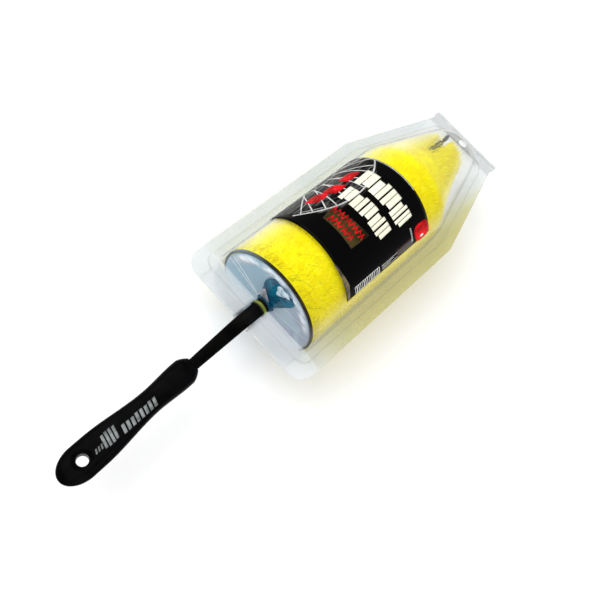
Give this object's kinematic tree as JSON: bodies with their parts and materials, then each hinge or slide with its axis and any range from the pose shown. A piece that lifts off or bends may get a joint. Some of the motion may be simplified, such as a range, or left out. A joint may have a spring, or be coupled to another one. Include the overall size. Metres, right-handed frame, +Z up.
{
  "type": "wheel brush",
  "caption": "Long-handled bristle brush for vehicle wheels, packed in a clear hinged display case with a printed wrap label and a hang hole.",
  "frame": {"origin": "centre of the part's box, at the height of the case's flat bottom", "axes": "+X along the brush from the handle to the tip, +Z up through the front half of the case"},
  "size_m": [0.4394, 0.124, 0.0935],
  "materials": {
    "handle_black": "satin",
    "ferrule_steel": "satin",
    "stem_sheath": "satin",
    "stop_ring": "satin",
    "twisted_steel": "satin",
    "tip_vinyl": "satin",
    "hub_teal": "gloss",
    "end_disc_film": "gloss",
    "disc_rim_black": "satin",
    "bristle_root_dark": "matte",
    "bristle_yellow": "matte",
    "clear_sheet": "gloss",
    "printed_label": "gloss"
  },
  "bodies": {
    "case": {"back_shell": "clear_sheet", "living_hinge": "clear_sheet"},
    "lid": {"front_shell": "clear_sheet", "wrap_label": "printed_label"},
    "brush": {"handle_grip": "handle_black", "crimp_ferrule": "ferrule_steel", "stem_sheath": "stem_sheath", "stop_ring": "stop_ring", "wire_strand_1": "twisted_steel", "wire_strand_2": "twisted_steel", "tip_loop": "tip_vinyl", "hub_cone": "hub_teal", "end_disc": "end_disc_film", "disc_rim": "disc_rim_black", "bristle_root": "bristle_root_dark", "bristle_ring_1": "bristle_yellow", "bristle_ring_2": "bristle_yellow", "bristle_ring_3": "bristle_yellow", "bristle_ring_4": "bristle_yellow", "bristle_nose": "bristle_yellow"}
  },
  "joints": [
    {"name": "lid_hinge", "type": "hinge", "parent": "case", "child": "lid", "pos_m": [0.2185, 0, 0.047], "axis": [0, 1, 0], "range_deg": [0, 180]},
    {"name": "brush_spin", "type": "hinge", "parent": "case", "child": "brush", "pos_m": [-0.062, 0, 0.047], "axis": [1, 0, 0], "continuous": true}
  ]
}
